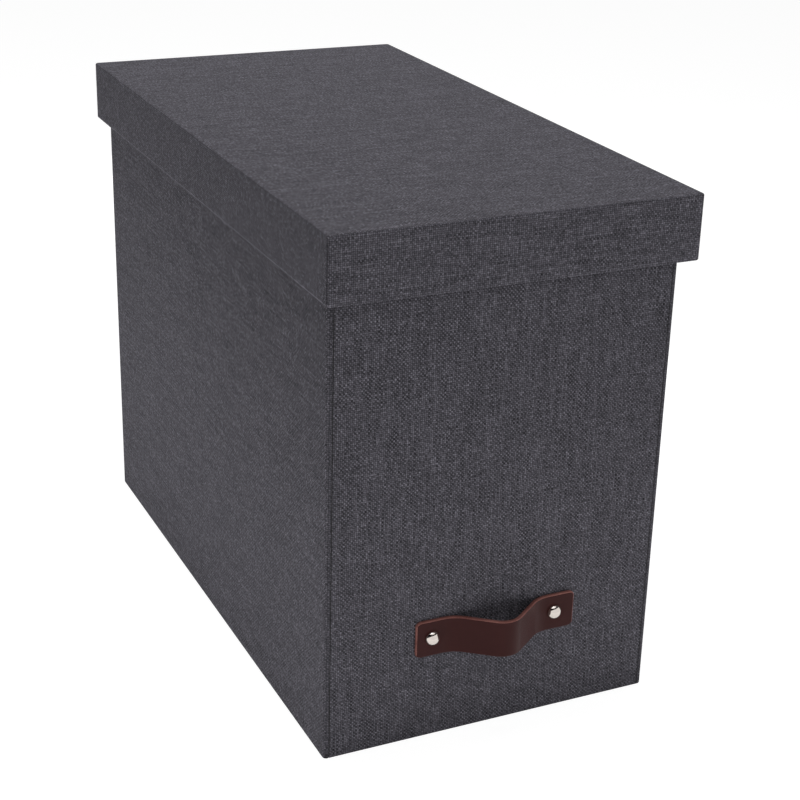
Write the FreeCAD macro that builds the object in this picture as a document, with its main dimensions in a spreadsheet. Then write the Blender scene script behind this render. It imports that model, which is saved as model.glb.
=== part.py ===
# A desktop box for hanging files: cloth-covered board walls, a lift-off lid, a leather
# strap pull on the front, and folders that hang on two steel rails under the lid.
# The origin is the centre of the underside. X runs to the right as seen from the front,
# Y towards the back and Z up. All lengths are in millimetres.
import FreeCAD, Part
import math
import os
from types import SimpleNamespace
import Sketcher

SIZES = {
    # The body, measured outside over its cloth
    "body_width": 178.4,
    "body_length": 334.0,
    "side_height": 263.6,
    # Sheet materials
    "board": 2.2,
    "cover": 0.4,
    "lining": 0.3,
    "corner_radius": 2.0,
    "fold_radius": 0.9,
    "turn_in": 15.0,
    "seam": 0.5,
    # The lid
    "lid_side_gap": 1.7,
    "lid_hook_gap": 1.45,
    "lid_tab_gap": 2.6,
    "lid_height": 32.2,
    # The rails that cap the end walls
    "rail_sheet": 0.6,
    "rail_fit": 0.1,
    "rail_leg": 7.0,
    "rail_end_gap": 0.4,
    # The strap pull
    "strap_length": 86.4,
    "strap_width": 19.5,
    "strap_thickness": 2.0,
    "strap_bow": 15.0,
    "strap_half_span": 28.5,
    "strap_foot_radius": 16.0,
    "strap_crown_radius": 10.3,
    "strap_corner": 2.8,
    "strap_level": 56.0,
    "strap_shift": 0.5,
    # The rivets that hold it
    "rivet_pitch": 66.8,
    "rivet_shift": -0.6,
    "rivet_head": 7.7,
    "rivet_dome": 3.0,
    "rivet_shank": 3.0,
    "rivet_fit": 0.1,
    "rivet_grip": 0.6,
    "rivet_cap": 8.0,
    "rivet_cap_depth": 1.0,
    # The hanging files
    "file_margin": 12.0,
    "file_pitch": 22.0,
    "card": 0.4,
    "folder_width": 12.0,
    "folder_end_gap": 6.6,
    "folder_floor_gap": 7.0,
    "fold_bend": 3.0,
    "hem_fit": 0.1,
    "hem_overlap": 12.0,
    # Their steel rods
    "rod_thickness": 1.0,
    "rod_height": 9.0,
    "rod_above_rail": 5.5,
    "rod_nose": 1.5,
    "hook_gap": 1.0,
    "hook_seat": 0.2,
    "hook_tooth": 4.05,
    # Their index tabs
    "tab_length": 50.0,
    "tab_margin": 28.5,
    "tab_wall": 0.6,
    "tab_leg": 8.0,
    "tab_rise": 10.5,
    "insert_thickness": 0.3,
    "insert_fit": 0.15,
    "insert_edge": 1.0,
    # How far a cutting shape runs past what it cuts
    "overrun": 5.0,
}
FILE_COUNT = 5

# Where the lid's end cloth stops as it goes round an upright corner, in degrees from the end face
LID_SEAM_TURN = 60

doc = FreeCAD.newDocument("FileBox")
sheet = doc.addObject("Spreadsheet::Sheet", "Sizes")
for row, (name, number) in enumerate(SIZES.items(), start=1):
    sheet.set(f"A{row}", name)
    sheet.set(f"B{row}", str(number))
    sheet.setAlias(f"B{row}", name)
doc.recompute()


class Formula:
    """A length that carries both its value and the sheet formula that gives it."""

    def __init__(self, text, value):
        self.text = text
        self.value = value

    def __add__(self, other):
        other = formula(other)
        return Formula(f"({self.text} + {other.text})", self.value + other.value)

    def __sub__(self, other):
        other = formula(other)
        return Formula(f"({self.text} - {other.text})", self.value - other.value)

    def __mul__(self, factor):
        return Formula(f"({self.text} * {factor})", self.value * factor)

    def __truediv__(self, divisor):
        return Formula(f"({self.text} / {divisor})", self.value / divisor)

    def __neg__(self):
        return Formula(f"(-{self.text})", -self.value)


def formula(length):
    """Take a Formula as it is, and zero as a Formula of zero."""
    return length if isinstance(length, Formula) else Formula(str(length), length)


size = SimpleNamespace(**{name: Formula(f"Sizes.{name}", number) for name, number in SIZES.items()})
nodes = []


def bind(item, name, length):
    """Tie one property of an object to the sheet."""
    item.setExpression(name, formula(length).text)


def place(item, centre):
    """Put an object's own origin at a point given by three formulas."""
    for axis, length in zip("xyz", centre):
        bind(item, f"Placement.Base.{axis}", length)


def finished(item, label):
    """Name a sub-part and list it among the pieces of the box."""
    item.Label = label
    nodes.append(item)
    return item


def block(label, centre, extent):
    """A square-edged sheet or block, by its centre and its three extents."""
    box = doc.addObject("Part::Box", label)
    for name, length in zip(("Length", "Width", "Height"), extent):
        bind(box, name, length)
    place(box, [formula(middle) - length / 2 for middle, length in zip(centre, extent)])
    return box


def cut(label, base, *tools):
    """What is left of a piece once the tools have been taken out of it."""
    tool = tools[0]
    if len(tools) > 1:
        tool = doc.addObject("Part::MultiFuse", f"{label}_tools")
        tool.Shapes = list(tools)
    piece = doc.addObject("Part::Cut", label)
    piece.Base = base
    piece.Tool = tool
    return piece


def origin_plane(body, role):
    return next(feature for feature in body.Origin.OriginFeatures if feature.Role == role)


def empty_sketch(body, role, name):
    """A sketch on one of the body's own origin planes."""
    sketch = body.newObject("Sketcher::SketchObject", name)
    sketch.AttachmentSupport = [(origin_plane(body, role), "")]
    sketch.MapMode = "FlatFace"
    return sketch


def hold_point(sketch, edge, end, point):
    """Hold one end of a sketch edge at a point given by two formulas."""
    for kind, axis, length in (("DistanceX", -2, point[0]), ("DistanceY", -1, point[1])):
        length = formula(length)
        if length.text == "0":
            sketch.addConstraint(Sketcher.Constraint("PointOnObject", edge, end, axis))
        else:
            held = sketch.addConstraint(Sketcher.Constraint(kind, -1, 1, edge, end, length.value))
            bind(sketch, f"Constraints[{held}]", length)


def add_outline(sketch, points):
    """Draw a closed outline of straight lines through points given by formulas."""
    first = sketch.GeometryCount
    spots = [FreeCAD.Vector(formula(x).value, formula(y).value, 0) for x, y in points]
    for start, end in zip(spots, spots[1:] + spots[:1]):
        sketch.addGeometry(Part.LineSegment(start, end))
    count = len(points)
    for index in range(count):
        sketch.addConstraint(
            Sketcher.Constraint("Coincident", first + index, 2, first + (index + 1) % count, 1))
    for index, point in enumerate(points):
        hold_point(sketch, first + index, 1, point)


def pad(body, sketch, depth):
    """Pull a sketch out to both sides of its plane."""
    feature = body.newObject("PartDesign::Pad", "Pad")
    feature.Profile = sketch
    feature.SideType = "Symmetric"
    bind(feature, "Length", depth)
    sketch.Visibility = False
    return feature


def extrusion(label, role, outlines, depth):
    """A body of one constant section: its first outline is solid, the others are holes."""
    body = doc.addObject("PartDesign::Body", label)
    sketch = empty_sketch(body, role, f"{label}_section")
    for points in outlines:
        add_outline(sketch, points)
    pad(body, sketch, depth)
    return body


def round_edges(body, radius, wanted):
    """Round the edges of the body's last feature whose middle and direction are wanted."""
    doc.recompute()
    tip = body.Tip
    names = []
    for index, edge in enumerate(tip.Shape.Edges, start=1):
        start, end = edge.Vertexes[0].Point, edge.Vertexes[-1].Point
        if wanted(edge.CenterOfMass, end - start):
            names.append(f"Edge{index}")
    fillet = body.newObject("PartDesign::Fillet", "Fillet")
    fillet.Base = (tip, names)
    bind(fillet, "Radius", radius)
    return fillet


def rounded_block(label, centre, extent):
    """A block as a body of its own, ready for its edges to be rounded."""
    body = doc.addObject("PartDesign::Body", label)
    box = body.newObject("PartDesign::AdditiveBox", f"{label}_blank")
    for name, length in zip(("Length", "Width", "Height"), extent):
        bind(box, name, length)
    place(body, [formula(middle) - length / 2 for middle, length in zip(centre, extent)])
    return body


def upright(direction):
    return direction.Length > 0 and abs(direction.z) > abs(direction.x) + abs(direction.y)


def outer_uprights(thickness, side):
    """The two upright edges on the outer face of a wall of the given thickness."""
    outer_face = thickness.value if side > 0 else 0
    return lambda spot, direction: (
        upright(direction) and abs(spot.x - outer_face) < thickness.value / 4)


def lengthwise(direction):
    return abs(direction.y) > abs(direction.x) + abs(direction.z)


def crosswise(direction):
    return abs(direction.x) > abs(direction.y) + abs(direction.z)


# Lengths that several pieces share
wall = size.board + size.cover
inner_width = size.body_width - wall * 2
inner_length = size.body_length - wall * 2
floor_top = wall + size.lining
front_face = size.body_length / 2
rail_width = size.board + size.cover * 2 + size.rail_fit * 2 + size.rail_sheet * 2
rail_line = (size.body_length - size.board - size.cover * 2) / 2
hook_width = rail_width + size.hook_gap * 2
rod_half = rail_line + hook_width / 2 + size.hook_tooth

# The end walls are as much lower than the sides as a file's hooks, hem and tab need under the lid
file_rise = (size.hook_seat + size.rod_above_rail + size.hem_fit * 2 + size.card
             + size.tab_wall + size.tab_rise)
end_height = size.side_height - size.lid_tab_gap - file_rise - size.rail_sheet
rail_top = end_height + size.rail_sheet
rivet_through = size.strap_thickness + wall + size.lining


def rivet_holes():
    """Two pins that cut the rivet holes through the strap, the cloth, the board and the lining."""
    pins = []
    for side in (-1, 1):
        pin = doc.addObject("Part::Cylinder", "rivet_hole")
        bind(pin, "Radius", size.rivet_shank / 2 + size.rivet_fit)
        bind(pin, "Height", rivet_through + size.overrun * 2)
        pin.Placement.Rotation = FreeCAD.Rotation(FreeCAD.Vector(1, 0, 0), 90)
        place(pin, (size.rivet_shift + size.rivet_pitch / 2 * side,
                    -front_face + wall + size.lining + size.overrun, size.strap_level))
        pins.append(pin)
    return pins


def make_floor():
    """The bottom board between the walls, the cloth under it and the paper over it."""
    sheets = (
        ("bottom_board", size.board, size.cover + size.board / 2),
        ("bottom_cover", size.cover, size.cover / 2),
        ("floor_lining", size.lining, wall + size.lining / 2),
    )
    for label, thickness, level in sheets:
        finished(block(label, (0, 0, level), (inner_width, inner_length, thickness)), label)


def make_side(name, side):
    """A full-height side wall: its cloth wraps both ends of the board and folds over its top."""
    middle = (size.body_width - wall - size.cover) / 2
    board = rounded_block(
        f"{name}_board", (middle * side, 0, size.side_height / 2),
        (size.board, size.body_length - size.cover * 2, size.side_height - size.cover * 2))
    round_edges(board, size.corner_radius - size.cover, outer_uprights(size.board, side))
    finished(board, f"{name}_board")

    cover_width = wall + size.cover
    blank = rounded_block(
        f"{name}_cover_blank",
        ((size.body_width - cover_width) / 2 * side, 0, size.side_height / 2),
        (cover_width, size.body_length, size.side_height))
    round_edges(blank, size.corner_radius, outer_uprights(cover_width, side))
    inner_face = 0 if side > 0 else cover_width.value
    round_edges(blank, size.fold_radius, lambda spot, direction: (
        not upright(direction) and abs(spot.z) < size.cover.value / 2
        and abs(spot.x - inner_face) > size.cover.value / 2))
    round_edges(blank, size.fold_radius, lambda spot, direction: (
        not upright(direction) and spot.z > size.side_height.value - size.cover.value / 2))
    inside = block(
        f"{name}_cover_inside",
        (((inner_width - size.overrun) / 2) * side, 0, (end_height - size.overrun) / 2),
        (size.overrun, size.body_length + size.overrun * 2, end_height + size.overrun))
    finished(cut(f"{name}_cover", blank, board, inside), f"{name}_cover")

    lining_height = end_height - floor_top
    lining = block(
        f"{name}_lining",
        ((inner_width - size.lining) / 2 * side, 0, floor_top + lining_height / 2),
        (size.lining, inner_length - size.cover * 2, lining_height))
    finished(lining, f"{name}_lining")


def make_end(name, side, holes):
    """An end wall, lower than the sides: board, cloth folded over its top, lining and rail."""
    outer = size.body_length / 2
    board = block(
        f"{name}_board_blank",
        (0, (outer - size.cover - size.board / 2) * side, end_height / 2),
        (inner_width, size.board, end_height - size.cover * 2))
    cover_depth = wall + size.cover
    cover_blank = rounded_block(
        f"{name}_cover_blank", (0, (outer - cover_depth / 2) * side, end_height / 2),
        (inner_width - size.seam * 2, cover_depth, end_height))
    outer_face = cover_depth.value if side > 0 else 0
    round_edges(cover_blank, size.fold_radius, lambda spot, direction: (
        crosswise(direction) and abs(spot.y - outer_face) + abs(spot.z) < size.cover.value / 2))
    flap_bottom = end_height - size.turn_in
    inside = block(
        f"{name}_cover_inside",
        (0, (inner_length / 2 - size.overrun / 2) * side, (flap_bottom - size.overrun) / 2),
        (size.body_width, size.overrun, flap_bottom + size.overrun))
    lining_height = flap_bottom - floor_top
    lining = block(
        f"{name}_lining_blank",
        (0, (inner_length - size.lining) / 2 * side, floor_top + lining_height / 2),
        (inner_width, size.lining, lining_height))
    cover = cut(f"{name}_cover_folded", cover_blank, board, inside)
    for part_name, piece in (("board", board), ("cover", cover), ("lining", lining)):
        label = f"{name}_{part_name}"
        finished(cut(label, piece, *holes) if holes else piece, label)

    half = rail_width / 2
    slot = half - size.rail_sheet
    leg_end = end_height - size.rail_leg
    centre = rail_line * side
    section = [
        (centre - half, leg_end), (centre - half, rail_top),
        (centre + half, rail_top), (centre + half, leg_end),
        (centre + slot, leg_end), (centre + slot, end_height),
        (centre - slot, end_height), (centre - slot, leg_end),
    ]
    rail = extrusion(f"{name}_rail", "YZ_Plane", [section],
                     inner_width - size.cover * 2 - size.rail_end_gap * 2)
    round_edges(rail, size.rail_sheet, lambda spot, direction: (
        crosswise(direction) and abs(spot.z - rail_top.value) < size.rail_sheet.value / 2))
    finished(rail, f"{name}_rail")


def make_strap(holes):
    """The leather strap: flat at both ends, and bowed out between them as a finger pull."""
    body = doc.addObject("PartDesign::Body", "pull_strap_blank")
    path = empty_sketch(body, "XY_Plane", "strap_path")
    half = (size.strap_length / 2).value
    span = size.strap_half_span.value
    bow = size.strap_bow.value
    foot = size.strap_foot_radius.value
    crown = size.strap_crown_radius.value
    centre_distance = math.hypot(span, foot + crown - bow)
    flank = math.sqrt(centre_distance ** 2 - (foot + crown) ** 2)
    turn = math.atan2(span, foot + crown - bow) - math.atan2(flank, foot + crown)
    foot_end = FreeCAD.Vector(foot * math.sin(turn) - span, foot * (math.cos(turn) - 1), 0)
    crown_start = foot_end + FreeCAD.Vector(math.cos(turn), -math.sin(turn), 0) * flank
    right = math.pi / 2

    def mirror(spot):
        return FreeCAD.Vector(-spot.x, spot.y, 0)

    def arc(x, y, radius, first, last):
        circle = Part.Circle(FreeCAD.Vector(x, y, 0), FreeCAD.Vector(0, 0, 1), radius)
        return Part.ArcOfCircle(circle, first, last)

    stretches = (
        Part.LineSegment(FreeCAD.Vector(-half, 0, 0), FreeCAD.Vector(-span, 0, 0)),
        arc(-span, -foot, foot, right - turn, right),
        Part.LineSegment(foot_end, crown_start),
        arc(0, crown - bow, crown, -right - turn, -right + turn),
        Part.LineSegment(mirror(crown_start), mirror(foot_end)),
        arc(span, -foot, foot, right, right + turn),
        Part.LineSegment(FreeCAD.Vector(span, 0, 0), FreeCAD.Vector(half, 0, 0)),
    )
    left_end, left_foot, left_flank, top, right_flank, right_foot, right_end = [
        path.addGeometry(stretch) for stretch in stretches]
    start, end, middle = 1, 2, 3
    for first, first_end, second, second_end in (
            (left_end, end, left_foot, end), (left_foot, start, left_flank, start),
            (left_flank, end, top, start), (top, end, right_flank, start),
            (right_flank, end, right_foot, end), (right_foot, start, right_end, start)):
        path.addConstraint(Sketcher.Constraint("Tangent", first, first_end, second, second_end))
    for stretch, stretch_end, x in (
            (left_end, start, -size.strap_length / 2), (left_end, end, -size.strap_half_span),
            (right_end, start, size.strap_half_span), (right_end, end, size.strap_length / 2)):
        hold_point(path, stretch, stretch_end, (x, 0))
    for stretch, radius in ((left_foot, size.strap_foot_radius), (top, size.strap_crown_radius),
                            (right_foot, size.strap_foot_radius)):
        held = path.addConstraint(Sketcher.Constraint("Radius", stretch, radius.value))
        bind(path, f"Constraints[{held}]", radius)
    hold_point(path, top, middle, (0, size.strap_crown_radius - size.strap_bow))

    section = empty_sketch(body, "YZ_Plane", "strap_section")
    bind(section, "AttachmentOffset.Base.z", -size.strap_length / 2)
    across = size.strap_thickness / 2
    up = size.strap_width / 2
    add_outline(section, [(-across, -up), (across, -up), (across, up), (-across, up)])
    doc.recompute()
    sweep = body.newObject("PartDesign::AdditivePipe", "strap_sweep")
    sweep.Profile = section
    sweep.Spine = (path, [f"Edge{index + 1}" for index in range(len(stretches))])
    round_edges(body, size.strap_corner, lambda spot, direction: (
        lengthwise(direction) and abs(abs(spot.x) - half) < across.value
        and direction.Length < size.strap_thickness.value * 1.5))
    place(body, (size.strap_shift, -front_face - size.strap_thickness / 2, size.strap_level))
    finished(cut("pull_strap", body, *holes), "pull_strap")


def make_rivets():
    """Two domed rivets through the strap and the front wall, and the caps they close into."""
    head_seat = -front_face - size.strap_thickness
    shank_end = rivet_through + size.rivet_grip

    def turned(label, draw):
        body = doc.addObject("PartDesign::Body", label)
        sketch = empty_sketch(body, "XY_Plane", f"{label}_half_section")
        bind(sketch, "AttachmentOffset.Base.x", size.rivet_pitch / 2)
        draw(sketch)
        turning = body.newObject("PartDesign::Revolution", f"{label}_turning")
        turning.Profile = sketch
        turning.ReferenceAxis = (sketch, ["V_Axis"])
        turning.Angle = 360
        pair = body.newObject("PartDesign::Mirrored", f"{label}_pair")
        pair.Originals = [turning]
        pair.MirrorPlane = (origin_plane(body, "YZ_Plane"), [""])
        body.Tip = pair
        place(body, (size.rivet_shift, head_seat, size.strap_level))
        finished(body, label)

    def draw_rivet(sketch):
        head = size.rivet_head / 2
        shank = size.rivet_shank / 2
        rise = size.rivet_dome
        radius = (head.value ** 2 + rise.value ** 2) / (2 * rise.value)
        centre = FreeCAD.Vector(0, radius - rise.value, 0)
        edge_angle = math.atan2(-centre.y, head.value)
        circle = Part.Circle(centre, FreeCAD.Vector(0, 0, 1), radius)
        sketch.addGeometry(Part.ArcOfCircle(circle, -math.pi / 2, edge_angle))
        corners = [(head, 0), (shank, 0), (shank, shank_end), (0, shank_end), (0, -rise)]
        spots = [FreeCAD.Vector(formula(x).value, formula(y).value, 0) for x, y in corners]
        for start, end in zip(spots, spots[1:]):
            sketch.addGeometry(Part.LineSegment(start, end))
        last = len(corners) - 1
        for index in range(last):
            sketch.addConstraint(Sketcher.Constraint("Coincident", index, 2, index + 1, 1))
            hold_point(sketch, index + 1, 1, corners[index])
        sketch.addConstraint(Sketcher.Constraint("Coincident", last, 2, 0, 1))
        hold_point(sketch, last, 2, corners[last])
        sketch.addConstraint(Sketcher.Constraint("PointOnObject", 0, 3, -2))

    def draw_cap(sketch):
        cap = size.rivet_cap / 2
        socket = size.rivet_shank / 2 + size.rivet_fit
        seat = rivet_through
        back = rivet_through + size.rivet_cap_depth
        add_outline(sketch, [(0, shank_end), (socket, shank_end), (socket, seat),
                             (cap, seat), (cap, back), (0, back)])

    turned("pull_rivets", draw_rivet)
    turned("rivet_caps", draw_cap)


def make_lid():
    """The lift-off lid: a top board on four skirt boards, one cloth round all, paper inside."""
    skin = wall + size.cover
    width = size.body_width + (size.lid_side_gap + skin) * 2
    length = (rod_half + size.lid_hook_gap + skin) * 2
    top = size.side_height + size.lining + wall
    bottom = top - size.lid_height
    board_width = width - size.cover * 2
    board_length = length - size.cover * 2
    board_bottom = bottom + size.cover
    ceiling = size.side_height + size.lining
    skirt = ceiling - board_bottom
    skirt_level = board_bottom + skirt / 2
    inner_radius = size.corner_radius - size.cover

    def level_with(height):
        return lambda spot, direction: (
            not upright(direction) and abs(spot.z - formula(height).value) < size.cover.value / 2)

    top_board = rounded_block("lid_top_board", (0, 0, ceiling + size.board / 2),
                              (board_width, board_length, size.board))
    round_edges(top_board, inner_radius, lambda spot, direction: upright(direction))
    round_edges(top_board, size.fold_radius - size.cover, level_with(size.board))
    boards = [finished(top_board, "lid_top_board")]
    for name, side in (("left", -1), ("right", 1)):
        skirt_board = rounded_block(
            f"lid_{name}_board", ((board_width - size.board) / 2 * side, 0, skirt_level),
            (size.board, board_length, skirt))
        round_edges(skirt_board, inner_radius, outer_uprights(size.board, side))
        boards.append(finished(skirt_board, f"lid_{name}_board"))
    for name, side in (("front", -1), ("back", 1)):
        skirt_board = block(
            f"lid_{name}_board", (0, (board_length - size.board) / 2 * side, skirt_level),
            (board_width - size.board * 2, size.board, skirt))
        boards.append(finished(skirt_board, f"lid_{name}_board"))

    blank = rounded_block("lid_cover_blank", (0, 0, top - size.lid_height / 2),
                          (width, length, size.lid_height))
    round_edges(blank, size.corner_radius, lambda spot, direction: upright(direction))
    round_edges(blank, size.fold_radius, level_with(size.lid_height))
    round_edges(blank, size.fold_radius, level_with(0))
    hollow_height = skirt + size.cover + size.overrun
    hollow = block("lid_hollow", (0, 0, ceiling - hollow_height / 2),
                   (width - skin * 2, length - skin * 2, hollow_height))
    slits = []
    for side in (-1, 1):
        for end in (-1, 1):
            out_x = side * math.sin(math.radians(LID_SEAM_TURN))
            out_y = end * math.cos(math.radians(LID_SEAM_TURN))
            slit = doc.addObject("Part::Box", "lid_corner_slit")
            for name, extent in zip(("Length", "Width", "Height"),
                                    (size.corner_radius + size.overrun, size.seam, hollow_height)):
                bind(slit, name, extent)
            slit.Placement.Rotation = FreeCAD.Rotation(
                FreeCAD.Vector(0, 0, 1), math.degrees(math.atan2(out_y, out_x)))
            place(slit, (
                (width / 2 - size.corner_radius) * side + size.seam / 2 * out_y,
                (length / 2 - size.corner_radius) * end - size.seam / 2 * out_x,
                ceiling - hollow_height))
            slits.append(slit)
    finished(cut("lid_cover", blank, *boards, hollow, *slits), "lid_cover")
    lining = block("lid_lining", (0, 0, ceiling - size.lining / 2),
                   (width - skin * 2, length - skin * 2, size.lining))
    finished(lining, "lid_lining")


def make_file(index):
    """One hanging file: a folded card with a hem along each leaf, two rods and an index tab."""
    name = f"file_{index + 1}"
    centre = -inner_width / 2 + size.cover + size.file_margin + size.file_pitch * index
    hook_top = rail_top + size.hook_seat
    rod_top = hook_top + size.rod_above_rail
    rod_bottom = rod_top - size.rod_height

    leaf = size.folder_width / 2
    slot_out = leaf - size.card
    slot_in = slot_out - size.rod_thickness - size.hem_fit * 2
    hem_in = slot_in - size.card
    slot_low = rod_bottom - size.hem_fit
    slot_high = rod_top + size.hem_fit
    hem_top = slot_high + size.card
    flap_end = slot_low - size.hem_overlap
    low = floor_top + size.folder_floor_gap
    folder_length = inner_length - (size.lining + size.folder_end_gap) * 2

    def half_section(side):
        return [
            (leaf * side, low), (leaf * side, hem_top), (hem_in * side, hem_top),
            (hem_in * side, slot_low - size.card), ((leaf - size.card * 2) * side, slot_low - size.card),
            ((leaf - size.card * 2) * side, flap_end), ((leaf - size.card) * side, flap_end),
            ((leaf - size.card) * side, low + size.card),
        ]

    def slot(side):
        return [(slot_out * side, slot_low), (slot_out * side, slot_high),
                (slot_in * side, slot_high), (slot_in * side, slot_low)]

    folder = extrusion(f"{name}_folder", "XZ_Plane",
                       [half_section(1) + half_section(-1)[::-1], slot(1), slot(-1)],
                       folder_length)
    for radius, level in ((size.fold_bend, low), (size.fold_bend - size.card, low + size.card)):
        round_edges(folder, radius, lambda spot, direction, level=level: (
            lengthwise(direction) and abs(spot.z - level.value) < size.card.value / 4))
    bind(folder, "Placement.Base.x", centre)
    finished(folder, f"{name}_folder")

    rods = doc.addObject("PartDesign::Body", f"{name}_rods")
    sketch = empty_sketch(rods, "YZ_Plane", f"{name}_rod_outline")
    bind(sketch, "AttachmentOffset.Base.z", (slot_in + slot_out) / 2)
    hook_out = rail_line + hook_width / 2
    hook_in = rail_line - hook_width / 2
    end = [(rod_half, rod_bottom), (rod_half, rod_top)]
    notch = [(hook_in, rod_bottom), (hook_in, hook_top), (hook_out, hook_top), (hook_out, rod_bottom)]
    right_end = notch + end
    left_end = [(-y, z) for y, z in right_end[::-1]]
    add_outline(sketch, right_end + left_end)
    pad(rods, sketch, size.rod_thickness)
    round_edges(rods, size.rod_nose, lambda spot, direction: (
        crosswise(direction) and abs(spot.y) > rod_half.value - size.rod_nose.value / 2))
    doc.recompute()
    pair = rods.newObject("PartDesign::Mirrored", f"{name}_rod_pair")
    pair.TransformMode = "Whole shape"
    pair.MirrorPlane = (origin_plane(rods, "YZ_Plane"), [""])
    rods.Tip = pair
    bind(rods, "Placement.Base.x", centre)
    finished(rods, f"{name}_rods")

    clip_in = hem_in - size.hem_fit
    clip_out = leaf + size.hem_fit
    seat = hem_top + size.hem_fit
    middle = (hem_in + leaf) / 2
    groove = size.insert_thickness / 2 + size.insert_fit
    holder = groove + size.tab_wall
    roof = seat + size.tab_wall
    tab_top = roof + size.tab_rise
    tab_section = [
        (-clip_out - size.tab_wall, seat - size.tab_leg), (-clip_out - size.tab_wall, roof),
        (-middle - holder, roof), (-middle - holder, tab_top),
        (-middle - groove, tab_top), (-middle - groove, roof),
        (-middle + groove, roof), (-middle + groove, tab_top),
        (-middle + holder, tab_top), (-middle + holder, roof),
        (-clip_in + size.tab_wall, roof), (-clip_in + size.tab_wall, seat - size.tab_leg),
        (-clip_in, seat - size.tab_leg), (-clip_in, seat),
        (-clip_out, seat), (-clip_out, seat - size.tab_leg),
    ]
    tab = extrusion(f"{name}_tab", "XZ_Plane", [tab_section], size.tab_length)
    tab_run = folder_length - size.tab_length - size.tab_margin * 2
    shift = tab_run * (index / (FILE_COUNT - 1) - 1 / 2)
    place(tab, (centre, shift, 0))
    finished(tab, f"{name}_tab")

    insert = block(
        f"{name}_insert", (centre - middle, shift, roof + size.tab_rise / 2),
        (size.insert_thickness, size.tab_length - size.insert_edge * 2, size.tab_rise))
    finished(insert, f"{name}_insert")


holes = rivet_holes()
make_floor()
for wall_name, wall_side in (("left", -1), ("right", 1)):
    make_side(wall_name, wall_side)
make_end("front", -1, holes)
make_end("back", 1, [])
make_strap(holes)
make_rivets()
make_lid()
for file_index in range(FILE_COUNT):
    make_file(file_index)
doc.recompute()

for item in doc.Objects:
    if "Invalid" in item.State or "Error" in item.State:
        raise RuntimeError(f"{item.Label} was not built: {item.State}")
for item in nodes:
    if item.Shape.isNull() or not item.Shape.isValid():
        raise RuntimeError(f"{item.Label} has no sound shape")

os.makedirs("parts", exist_ok=True)
for item in nodes:
    item.Shape.exportStep(f"parts/{item.Label}.step")
    bounds = item.Shape.BoundBox
    print(f"{item.Label}: {len(item.Shape.Solids)} solid(s), {item.Shape.Volume:.1f} mm3, "
          f"x {bounds.XMin:.2f}..{bounds.XMax:.2f}, y {bounds.YMin:.2f}..{bounds.YMax:.2f}, "
          f"z {bounds.ZMin:.2f}..{bounds.ZMax:.2f}")
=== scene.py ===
# A cloth-covered box for hanging files, with its lift-off lid and riveted strap pull.
# Lengths are in metres, in the same frame as the solids.
import math

import bmesh
import bpy
from mathutils import Matrix, Vector, noise


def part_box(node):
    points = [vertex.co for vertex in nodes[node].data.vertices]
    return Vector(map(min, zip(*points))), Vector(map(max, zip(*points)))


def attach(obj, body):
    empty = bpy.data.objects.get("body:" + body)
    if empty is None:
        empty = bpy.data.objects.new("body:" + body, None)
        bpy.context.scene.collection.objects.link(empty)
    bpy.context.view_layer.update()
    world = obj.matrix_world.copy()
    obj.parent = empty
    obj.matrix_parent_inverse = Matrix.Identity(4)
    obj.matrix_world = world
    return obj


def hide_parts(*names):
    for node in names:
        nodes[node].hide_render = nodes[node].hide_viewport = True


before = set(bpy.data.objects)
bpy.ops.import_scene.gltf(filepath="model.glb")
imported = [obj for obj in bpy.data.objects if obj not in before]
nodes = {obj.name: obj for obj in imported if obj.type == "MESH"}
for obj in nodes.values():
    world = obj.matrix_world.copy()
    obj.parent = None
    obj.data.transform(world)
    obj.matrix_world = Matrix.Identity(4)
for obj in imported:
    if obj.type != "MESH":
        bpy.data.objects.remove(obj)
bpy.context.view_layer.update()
scene = bpy.context.scene

# The camera stands to the left of the front and looks down on the lid, as in the photograph.
# Its place, angles and focal length come from the box's edges there; lengths in pixels
# belong to a picture of 800 x 800.
PICTURE_WIDTH = 800
FOCAL_PIXELS = 1751.8
CENTRE_PIXEL = (420.2, 399.1)
SENSOR_WIDTH = 36.0
CAMERA_PLACE = (-0.3629, -0.8212, 0.4877)
CAMERA_HEADING = math.radians(26.005)
CAMERA_TILT = math.radians(22.829)
CAMERA_ROLL = math.radians(1.834)

view = bpy.data.cameras.new("photo_view")
view.sensor_width = SENSOR_WIDTH
view.lens = FOCAL_PIXELS / PICTURE_WIDTH * view.sensor_width
view.shift_x = 0.5 - CENTRE_PIXEL[0] / PICTURE_WIDTH
view.shift_y = CENTRE_PIXEL[1] / PICTURE_WIDTH - 0.5
camera = bpy.data.objects.new("photo_view", view)
camera.matrix_world = (
    Matrix.Translation(CAMERA_PLACE)
    @ Matrix.Rotation(-CAMERA_HEADING, 4, "Z")
    @ Matrix.Rotation(math.pi / 2 - CAMERA_TILT, 4, "X")
    @ Matrix.Rotation(CAMERA_ROLL, 4, "Z"))
scene.collection.objects.link(camera)
scene.camera = camera
scene.view_settings.view_transform = "Standard"


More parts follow.
